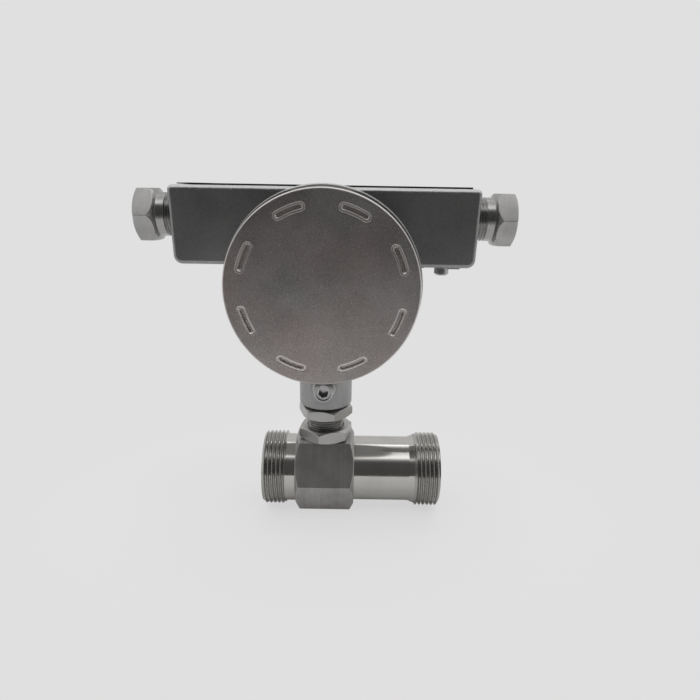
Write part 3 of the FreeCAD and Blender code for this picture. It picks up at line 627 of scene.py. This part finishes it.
def pickupNut(name, size):
    low, high, hole, sink = size["low"], size["high"], size["hole"], size["countersink"]
    face = size["acrossFlats"] / 2 - size["inset"]

    def outline(angle, reach):
        drop = cornerDrop(reach, size)
        return rounded([
            (low, hole, 0), (low, face, 0.12), (low + drop, reach, 0.25), (high - drop, reach, 0.25),
            (high, face, 0.12), (high, hole + sink, 0.1), (high - sink, hole, 0),
        ])

    return hexPiece(name, neckAxis, size, outline)


place(pickupSleeve(pickupSettings), "meter", "pickup", "pickup_steel", "pickup_sleeve")
for name, node in (("bossNut", "boss_nut"), ("lockNut", "lock_nut")):
    place(pickupNut(name, nutSettings[name]), "meter", "nut", "nut_steel", node)
print("pickup and nuts made")


# cable gland nuts

glandSettings = {
    "acrossFlats": 25.6, "cornerRound": 0.35, "sideSteps": 7, "inset": 0.2, "turn": 0,
    "inner": 67.5, "collar": 80.4, "hexStart": 84.4, "hexEnd": 95.0, "thread": 11.0,
    "pitch": 1.5, "depth": 0.92, "collarRadius": 10.9,
    "nose": 3.2, "noseTurn": 0.36, "noseShare": 0.6, "bore": 5.5, "shankBore": 6.4, "mouth": 1.0,
}


def glandNut(size, side):
    # the nose behind the hexagon is turned in two steps
    axis = (Vector((0, 0, portHeight)), Vector((side, 0, 0)), Vector((0, side, 0)))
    corner, face = size["acrossFlats"] / math.sqrt(3), size["acrossFlats"] / 2 - size["inset"]
    collarRadius, start, end, mouth = (size[key] for key in ("collarRadius", "hexStart", "hexEnd", "mouth"))
    collar, inner, bore, shankBore = (size[key] for key in ("collar", "inner", "bore", "shankBore"))
    turnOut = corner - (corner - collarRadius) * size["noseTurn"]
    turnIn = size["nose"] * size["noseTurn"]

    def outline(angle, reach):
        firstOut = min(turnOut, collarRadius + size["noseShare"] * (reach - collarRadius))
        first = turnIn * (firstOut - collarRadius) / (turnOut - collarRadius)
        if reach < turnOut:
            second = turnIn * (reach - collarRadius) / (turnOut - collarRadius)
        else:
            second = turnIn + (size["nose"] - turnIn) * (reach - turnOut) / (corner - turnOut)
        thread = threadRows(angle, inner, collar, size["thread"], size["pitch"], size["depth"])
        return thread + rounded([
            (collar, size["thread"] - 1.0, 0), (collar, collarRadius, 0.35), (start, collarRadius, 0.4),
            (start + first, firstOut, 0.5), (start + second, reach, 0.4),
            (end - cornerDrop(reach, size), reach, 0.35), (end, face, 0.2), (end, bore + mouth, 0.2),
            (end - mouth, bore, 0.2), (collar, bore, 0), (collar, shankBore, 0), (inner, shankBore, 0),
        ], closed=False)

    return hexPiece("glandNutLeft" if side < 0 else "glandNutRight", axis, size, outline)


for side, word in ((-1, "left"), (1, "right")):
    place(glandNut(glandSettings, side), word + "_nut", "glandNut", "nut_steel", word + "_gland_nut")
print("gland nuts made")


# cast head: box, round chamber, neck and lock lug; draft in degrees, fixings as (x, z) from the cover's axis

castSettings = {
    "halfTop": 75.0, "draft": 1.4, "halfDepth": 20.0, "bottom": 142.0, "top": 179.5, "lowCorner": 4.0,
    "topCorner": 2.5, "edge": 2.0, "barrel": 44.0, "barrelBack": 24.0, "backRound": 2.8, "flange": 46.5,
    "flangeFront": 37.6, "flangeBack": 22.6, "flangeRound": 0.8, "barrelSegments": 144,
    "neck": 14.6, "neckBottom": 63.1, "neckRound": 0.7, "flareLow": 83.7, "flareHigh": 104.7, "flare": 21.0,
    "sag": 3.6, "flareSteps": 8, "neckSegments": 96,
    "wallRound": 5.0, "wallSteps": 8, "wallSink": 2.5, "wallInside": 4,
    "lugHalf": 7.3, "lugFront": 21.0, "lugRound": 0.9, "lugSteps": 24,
    "pocketHalf": 5.0, "pocketLow": 82.5, "pocketHigh": 95, "pocketDepth": 2.6,
    "chamber": 40.0, "chamberBack": 18.0, "chamberMouth": 0.9, "threadPitch": 2.0, "threadDepth": 0.8,
    "threadFrom": 1.2, "threadTo": 14, "threadEase": 0.2,
    "armReach": 54.3, "armHalf": 15.0, "armLow": 147.0, "armHigh": 174.5, "armRound": 1.5,
    "port": 11.05, "portSeat": 57.3, "portEnd": 78, "wire": 7.0, "wireHalf": 60,
    "neckBore": 10.05, "neckBoreLow": 60, "neckBoreTop": 76.0,
    "wireBore": 7.5, "wireBoreLow": 75, "wireBoreTop": 96,
    "screwHole": 3.0, "screwFront": -23, "screwDepth": 7.4, "smallSegments": 24, "screwSegments": 32,
    "earthX": 58.6, "earthY": -13.0, "earthHole": 2.0, "earthLow": 140, "earthDepth": 4.0,
    "fixings": [(-22.5, 9.5), (22.5, 9.5), (0.0, -25.5)], "fixingHole": 1.7, "fixingDepth": 3.0,
}


def headBox(size):
    slope = (size["top"] - size["bottom"]) * math.tan(math.radians(size["draft"]))
    half, low, high = size["halfTop"], size["bottom"], size["top"]
    corners = [(slope - half, low), (half - slope, low), (half, high), (-half, high)]
    form = prism(corners, -size["halfDepth"], size["halfDepth"])

    def crosswise(edge, below):
        first, second = (vert.co / mm for vert in edge.verts)
        return abs(first.y - second.y) > 1 and (first.z < (low + high) / 2) == below

    def inFace(edge):
        return abs(edge.verts[0].co.y - edge.verts[1].co.y) < 0.1 * mm

    roundEdges(form, lambda edge: crosswise(edge, True), size["lowCorner"], 6)
    roundEdges(form, lambda edge: crosswise(edge, False), size["topCorner"], 5)
    roundEdges(form, inFace, size["edge"], 4)
    return meshPiece("headBox", form)


def headBarrel(size):
    front, back, flange = size["flangeFront"], size["flangeBack"], size["flange"]
    barrel, end = size["barrel"], -size["barrelBack"]
    profile = rounded([
        (front, 0, 0), (front, flange, size["flangeRound"]), (back, flange, 0.7), (back, barrel, 1.6),
        (end, barrel, size["backRound"]), (end, 0, 0),
    ], 4, closed=False)
    return turnedPiece("headBarrel", coverAxis, profile, size["barrelSegments"])


def headNeck(size):
    low, high, neck, flare = (size[key] for key in ("flareLow", "flareHigh", "neck", "flare"))
    bend = ((low + high) / 2 + size["sag"], (neck + flare) / 2 - size["sag"])
    curve = []
    for k in range(size["flareSteps"] + 1):
        share = k / size["flareSteps"]
        first, middle, last = (1 - share) ** 2, 2 * share * (1 - share), share ** 2
        along = first * low + middle * bend[0] + last * high
        curve.append((along, first * neck + middle * bend[1] + last * flare))
    bottom = size["neckBottom"]
    profile = rounded([
        (bottom, 0, 0), (bottom, neck, size["neckRound"]), (low - 1, neck, 0),
    ], 4, closed=False)
    return turnedPiece("headNeck", neckAxis, profile + curve + [(high, 0)], size["neckSegments"])


def lockLug(size):
    half, top = size["lugHalf"], coverHeight - size["flange"] + 1
    corners = [(half, top), (-half, top)]
    corners += arcPoints(half, (0, lockHeight), math.pi, math.pi, size["lugSteps"])
    form = prism(corners, -size["lugFront"], -size["neck"] / 2)
    front, ceiling = -size["lugFront"] * mm, (top - 1) * mm

    def frontRim(edge):
        inFront = all(abs(vert.co.y - front) < meshSettings["smallest"] for vert in edge.verts)
        return inFront and min(vert.co.z for vert in edge.verts) < ceiling

    roundEdges(form, frontRim, size["lugRound"], 3)
    return meshPiece("lockLug", form)


def wallFillet(size, side):
    # fills the corner between the box's underside and the round chamber
    radius, barrel, floor = size["wallRound"], size["barrel"], size["bottom"]
    rise = floor - radius - coverHeight
    across = math.sqrt((barrel + radius) ** 2 - rise ** 2)
    start = math.atan2(-rise, -side * across)
    span = (math.pi / 2 - start + math.pi) % fullTurn - math.pi
    corners = arcPoints(radius, (side * across, floor - radius), start, span, size["wallSteps"])
    inside = floor + size["wallSink"]
    corners += [(side * across, inside), (side * (across - radius - size["wallInside"]), inside)]
    depth = size["halfDepth"] - size["edge"] * 0.55
    return meshPiece("wallFillet", prism(corners, -depth, depth))


def coverThreadHole(size):
    # hollow for the cover with its screw thread
    back, front, radius = -size["chamberBack"], size["flangeFront"], size["chamber"]
    start, end, mouth = front - size["threadFrom"], front - size["threadTo"], size["chamberMouth"]
    before = [(front + 1, 0), (front + 1, radius + mouth), (front, radius + mouth), (front - mouth, radius)]
    after = [(end - size["threadEase"], radius), (back, radius), (back, 0)]
    depth = size["threadDepth"]
    thread = (start, end, radius + depth, size["threadPitch"], depth)
    columns = threadedColumns(size["barrelSegments"], before, after, *thread)
    return wrapped("coverThreadHole", coverAxis, columns, closed=False)


def castHead(size):
    head = headBarrel(size)
    fillets = [wallFillet(size, side) for side in (-1, 1)]
    combined(head, "UNION", [headBox(size), headNeck(size), lockLug(size)] + fillets)
    section = rectangle(size["armReach"], size["armLow"], size["armHigh"])
    arm = prism(section, -size["armHalf"], size["armHalf"])
    roundEdges(arm, lambda edge: True, size["armRound"], 2)
    front, wire = -size["lugFront"], size["wireHalf"]
    section = rectangle(size["pocketHalf"], size["pocketLow"], size["pocketHigh"])
    pocket = prism(section, front - 1, front + size["pocketDepth"])
    x, y, base = size["earthX"], size["earthY"], size["bottom"] + size["earthDepth"]
    screwFloor, small = front + size["screwDepth"], size["smallSegments"]
    holes = [
        coverThreadHole(size), meshPiece("armHollow", arm),
        rodPiece("wireHole", (-wire, 0, portHeight), (wire, 0, portHeight), size["wire"]),
        rodPiece("neckBore", (0, 0, size["neckBoreLow"]), (0, 0, size["neckBoreTop"]), size["neckBore"]),
        rodPiece("wireBore", (0, 0, size["wireBoreLow"]), (0, 0, size["wireBoreTop"]), size["wireBore"]),
        meshPiece("tabPocket", pocket),
        rodPiece("screwHole", (0, size["screwFront"], lockHeight), (0, screwFloor, lockHeight),
                 size["screwHole"], size["screwSegments"]),
        rodPiece("earthHole", (x, y, size["earthLow"]), (x, y, base), size["earthHole"], small),
    ]
    for side in (-1, 1):
        seat, end = side * size["portSeat"], side * size["portEnd"]
        holes.append(rodPiece("port", (seat, 0, portHeight), (end, 0, portHeight), size["port"]))
    wall = size["chamberBack"]
    floor = wall + size["fixingDepth"]
    for x, z in size["fixings"]:
        z += coverHeight
        holes.append(rodPiece("fixing", (x, wall - 1, z), (x, floor, z), size["fixingHole"], small))
    combined(head, "DIFFERENCE", holes, 30)
    head.name = head.data.name = "castHead"
    return head


place(castHead(castSettings), "head", "housing", "cast_steel", "housing", "left_arm", "right_arm")
print("cast head made")


# cover lock: tab, split washer and socket screw; washerGap in degrees, washerStart in half turns

lockSettings = {
    "tabFront": 22.6, "tabBack": 21.0, "tabRadius": 6.1, "tabHalf": 2.85, "tabTop": 87.8, "tabEdge": 0.35,
    "tabSteps": 32, "hole": 3.2, "holeFront": -24, "holeBack": -20, "holeSegments": 32,
    "washer": 4.7, "washerFront": 24.2, "washerGap": 16.0, "washerLift": 0.16, "washerStart": 0.8,
    "washerSteps": 48, "headFront": 30.2, "head": 5.0, "headRound": 0.75, "rim": 3.9, "dish": 0.7,
    "knurls": 48, "knurlDepth": 0.12, "knurlEnd": 28.9, "shank": 3.0, "tip": 13.6,
    "key": 4.6, "keyDepth": 4.6, "keyTurn": 0.3,
}


def lockTab(size):
    half, radius = size["tabHalf"], size["tabRadius"]
    past = math.acos(half / radius)
    corners = [(half, size["tabTop"]), (-half, size["tabTop"])]
    corners += arcPoints(radius, (0, lockHeight), math.pi - past, math.pi + 2 * past, size["tabSteps"])
    form = prism(corners, -size["tabFront"], -size["tabBack"])

    def inFace(edge):
        return abs(edge.verts[0].co.y - edge.verts[1].co.y) < meshSettings["smallest"]

    roundEdges(form, inFace, size["tabEdge"], 2)
    tab = meshPiece("lockTab", form)
    front, back = (0, size["holeFront"], lockHeight), (0, size["holeBack"], lockHeight)
    return combined(tab, "DIFFERENCE", [rodPiece("tabHole", front, back, size["hole"], size["holeSegments"])])


def splitWasher(size):
    # one turn of square wire, lifted a little at its cut ends
    inner, outer, back, front = size["hole"], size["washer"], size["tabFront"], size["washerFront"]
    gap, steps = math.radians(size["washerGap"]), size["washerSteps"]
    columns = []
    for k in range(steps + 1):
        share = k / steps
        lift = size["washerLift"] * (share - 0.5) * 2
        low, high = back + max(lift, 0), front + min(lift, 0)
        rows = rounded([(low, inner, 0.15), (low, outer, 0.2), (high, outer, 0.2), (high, inner, 0.15)], 2)
        columns.append((math.pi * size["washerStart"] + gap / 2 + (fullTurn - gap) * share, rows))
    washer = wrapped("splitWasher", lockAxis, columns)
    form = bmesh.new()
    form.from_mesh(washer.data)
    bmesh.ops.holes_fill(form, edges=[edge for edge in form.edges if edge.is_boundary])
    bmesh.ops.recalc_face_normals(form, faces=form.faces)
    form.to_mesh(washer.data)
    form.free()
    sharpen(washer.data, smoothAngle)
    return washer


def lockScrew(size):
    front, head, shank, tip = (size[key] for key in ("headFront", "head", "shank", "tip"))
    seat = size["washerFront"]
    dished, rim, knurlEnd = front - size["dish"], size["rim"], size["knurlEnd"]
    columns = []
    steps = size["knurls"] * 4
    for k in range(steps + 1):
        low = head - (size["knurlDepth"] if k % 4 in (2, 3) else 0)
        rows = rounded([
            (dished, 0, 0), (dished, rim - 0.35, 0.15), (front, rim, 0.15), (front, head, size["headRound"]),
            (knurlEnd, head, 0), (knurlEnd - 0.15, low, 0), (seat + 0.5, low, 0), (seat + 0.3, head, 0.1),
            (seat, head - 0.3, 0.1), (seat, shank, 0.1), (tip + 0.5, shank, 0.1),
            (tip, shank - 0.5, 0.1), (tip, 0, 0),
        ], closed=False)
        columns.append((fullTurn * k / steps, rows))
    screw = wrapped("lockScrew", lockAxis, columns, closed=False, sharpAngle=wideAngle)
    corners = arcPoints(size["key"] / math.sqrt(3), (0, lockHeight), size["keyTurn"], fullTurn, 6)[:6]
    key = meshPiece("keySocket", prism(corners, -front - 1, size["keyDepth"] - front))
    return combined(screw, "DIFFERENCE", [key], wideAngle)


place(lockTab(lockSettings), "head", "tag", "tag_steel", "lock_tab")
place(splitWasher(lockSettings), "head", "spring", "spring_steel", "lock_spring_washer")
place(lockScrew(lockSettings), "head", "screw", "screw_steel", "lock_screw")
print("cover lock made")


# thin sheet on the box, with its left end curled up

sheetSettings = {
    "half": 70.7, "depth": 16.5, "low": 179.5, "thickness": 0.8, "curlFrom": 58.0, "curl": 0.38,
    "endThickness": 0.55, "thinLength": 6, "steps": 48,
}


def topSheet(size):
    half, steps = size["half"], size["steps"]
    stations = [half * (2 * k / steps - 1) for k in range(steps + 1)]

    def underside(x):
        past = max(-x - size["curlFrom"], 0) / (half - size["curlFrom"])
        return size["low"] + size["curl"] * past ** 2

    corners = [(x, underside(x)) for x in stations]
    for x in reversed(stations):
        share = min(1, (half + x) / size["thinLength"])
        thin = size["endThickness"] + (1 - size["endThickness"]) * share
        corners.append((x, underside(x) + size["thickness"] * thin))
    return meshPiece("topSheet", prism(corners, -size["depth"], size["depth"]))


place(topSheet(sheetSettings), "head", "blackSheet", "black_sheet", "top_sheet")
print("top sheet made")


# cover; slotSection is (height over the face, half width), slotArc in degrees

coverSettings = {
    "radius": 45.0, "front": 46.0, "back": 38.0, "rimRound": 1.0, "skirt": 39.9, "skirtEnd": 26.0,
    "skirtInside": 35.9, "insideFace": 40.0, "ringIn": 40.88, "ringOut": 43.12, "ringFloor": 39.84,
    "relief": 0.9, "threadFrom": 1.2, "threadPitch": 2.0, "threadDepth": 0.8,
    "segments": 160, "faceRings": 12,
    "slotRing": 37.9, "slotArc": 16.2, "slots": 8, "arcSteps": 12, "endSteps": 8,
    "slotSection": [
        (0.6, 2.3), (0.0, 2.22), (-0.12, 2.1), (-0.2, 1.96), (-0.22, 1.27), (-0.3, 1.17), (-0.86, 0.85),
        (-0.96, 0.76), (-2.7, 0.2),
    ],
}


def slotLoop(size, middle, rise, width):
    # one level of a slot: outer arc, round end, inner arc, round end
    origin, along, side = coverAxis
    other = along.cross(side)
    half = math.radians(size["slotArc"] / 2)
    ring, arcSteps, endSteps = size["slotRing"], size["arcSteps"], size["endSteps"]
    points = []
    for sign in (1, -1):
        for k in range(arcSteps + 1):
            angle = middle + sign * half * (2 * k / arcSteps - 1)
            points.append((side * math.cos(angle) + other * math.sin(angle)) * (ring + sign * width))
        spot = middle + sign * half
        radial = side * math.cos(spot) + other * math.sin(spot)
        tangent = other * math.cos(spot) - side * math.sin(spot)
        for k in range(1, endSteps):
            turn = math.pi * k / endSteps
            out, ahead = sign * width * math.cos(turn), sign * width * math.sin(turn)
            points.append(radial * (ring + out) + tangent * ahead)
    return [(origin + point + along * (size["front"] + rise)) * mm for point in points]


def coverPiece(size):
    front, back, radius, skirt, end = (size[key] for key in ("front", "back", "radius", "skirt", "skirtEnd"))
    inside, floor, ringOut, ringIn = (size[key] for key in ("skirtInside", "ringFloor", "ringOut", "ringIn"))
    relief, start, rings = skirt - size["relief"], back - size["threadFrom"], size["faceRings"]
    face = [(front, radius * k / rings, 0) for k in range(rings)]
    outer = rounded(face + [
        (front, radius, size["rimRound"]), (back, radius, 0.3), (back, ringOut, 0), (floor, ringOut, 0),
        (floor, ringIn, 0), (back, ringIn, 0), (back, relief, 0.2), (start, relief, 0.2),
    ], 5, closed=False)
    inner = rounded([
        (end + 0.8, skirt - 0.2, 0), (end, skirt - 1.0, 0.2), (end, inside, 0.3),
        (size["insideFace"], inside, 0.8), (size["insideFace"], 0, 0),
    ], 4, closed=False)
    thread = (start, end + 0.8, skirt, size["threadPitch"], size["threadDepth"])
    columns = threadedColumns(size["segments"], outer, inner, *thread)
    cover = wrapped("screwCover", coverAxis, columns, closed=False)
    cutters = []
    for k in range(size["slots"]):
        middle = (k + 0.5) * fullTurn / size["slots"]
        loops = [slotLoop(size, middle, rise, width) for rise, width in size["slotSection"]]
        cutters.append(meshPiece("slotCutter", lofted(loops)))
    return combined(cover, "DIFFERENCE", cutters, wideAngle)


place(coverPiece(coverSettings), "cover", "cover", "cover_steel", "cover")
print("cover made")


# CAD nodes that keep their shape, by finish

nodeFinishes = {
    "rotor": ["outlet_straightener", "inlet_straightener", "rotor"],
    "spring": ["outlet_circlip", "inlet_circlip", "pickup_core"],
    "bearing": ["outlet_bush", "inlet_bush"],
    "screw": ["rotor_shaft", "earth_screw", "board_screws", "terminal_screws"],
    "copper": ["pickup_coil"],
    "magnet": ["pickup_magnet"],
    "resin": ["pickup_potting"],
    "rubber": ["neck_seal", "cover_oring", "left_gland_seal", "right_gland_seal"],
    "tag": ["earth_tag", "left_gland_washer", "right_gland_washer"],
    "board": ["circuit_board"],
    "brass": ["board_standoffs"],
    "terminal": ["terminal_block"],
    "component": ["board_parts"],
}
for finish, nodes in nodeFinishes.items():
    for node in nodes:
        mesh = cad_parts[node].data
        mesh.materials.clear()
        mesh.materials.append(finishes[finish])
        mesh.polygons.foreach_set("material_index", [0] * len(mesh.polygons))
print("CAD nodes finished:", sum(len(nodes) for nodes in nodeFinishes.values()))


# floor, backdrop and light; distances in metres

studio = {
    "paper": 0.745, "tableColour": 0.84, "tableGlow": 0.09, "ownShare": 0.3, "tableShade": 0.6,
    "tableFront": -0.45, "tableBack": 4, "tableHalf": 3, "tableDrop": 0.0002,
    "fadeFrom": 0.06, "fadeTo": 0.135, "fadeStretch": 0.7, "sides": 0.6, "sidesFrom": 0.6, "sidesTo": 0.95,
    # level of the room by angle in degrees: 0 is the front horizon, 90 overhead, 180 the horizon behind
    "room": [
        (0, 0.07), (44, 0.08), (52, 0.16), (58, 0.6), (62, 1.35), (68, 1.35), (80, 0.95), (86, 0.75),
        (100, 0.6), (108, 0.6), (111, 0.7), (113, 1.9), (117, 1.9), (120, 0.6), (138, 0.66), (180, 0.57),
    ],
}


def smoothly(m, value, low, high):
    node = m.add("MapRange", value, low, high)
    node.interpolation_type = "SMOOTHSTEP"
    return node.outputs[0]


def grey(level):
    return (level, level, level)


def studioFloor(size):
    # pale table; what the camera sees of it fades into the paper round it and keeps the shadow
    front, back, half = size["tableFront"], size["tableBack"], size["tableHalf"]
    mesh = bpy.data.meshes.new("floor")
    corners = [(-half, front, 0), (half, front, 0), (half, back, 0), (-half, back, 0)]
    mesh.from_pydata(corners, [], [(0, 1, 2, 3)])
    floor = bpy.data.objects.new("floor", mesh)
    bpy.context.scene.collection.objects.link(floor)
    floor.location.z = -size["tableDrop"]
    m = Nodes(bpy.data.materials.new("tablePaper"), emptied=True)
    own, paper = size["ownShare"], size["paper"]
    across = m.math("MULTIPLY", m.part("X"), size["fadeStretch"])
    squares = [m.math("POWER", value, 2.0) for value in (across, m.part("Y"))]
    away = smoothly(m, m.math("SQRT", m.math("ADD", *squares)), size["fadeFrom"], size["fadeTo"])
    paths = m.add("LightPath").outputs
    seen = m.math("MAXIMUM", paths["Is Camera Ray"], paths["Is Transmission Ray"])
    share = m.math("MULTIPLY", seen, m.math("MULTIPLY_ADD", away, own, 1 - own))
    diffuse = m.add("BsdfDiffuse", grey(size["tableColour"]))
    lift = m.add("Emission", grey(1.0), size["tableGlow"])
    table = m.add("AddShader", diffuse.outputs[0], lift.outputs[0])
    near = (paper - own * size["tableShade"]) / (1 - own)
    glow = m.add("Emission", grey(1.0), m.math("MULTIPLY_ADD", away, paper - near, near))
    both = m.add("MixShader", share, table.outputs[0], glow.outputs[0])
    m.add("OutputMaterial", both.outputs[0])
    mesh.materials.append(m.owner)


def studioWorld(size):
    # soft room: dark in front, bright strips overhead, pale behind, plain paper where it is seen directly
    world = bpy.data.worlds.new("studio")
    bpy.context.scene.world = world
    m = Nodes(world, "Generated", emptied=True)
    ahead = m.math("MULTIPLY", m.part("Y"), -1.0)
    turn = m.math("MAXIMUM", m.math("ARCTAN2", m.part("Z"), ahead), 0.0)
    rise = m.ramp(m.math("DIVIDE", turn, math.pi), [(angle / 180, level) for angle, level in size["room"]])
    sideways = smoothly(m, m.math("ABSOLUTE", m.part("X")), size["sidesFrom"], size["sidesTo"])
    room = m.mix(sideways, rise, grey(size["sides"]))
    shown = m.mix(m.add("LightPath").outputs["Is Camera Ray"], room, grey(size["paper"]))
    m.add("OutputWorld", m.add("Background", shown).outputs[0])


studioFloor(studio)
studioWorld(studio)
print("studio made")
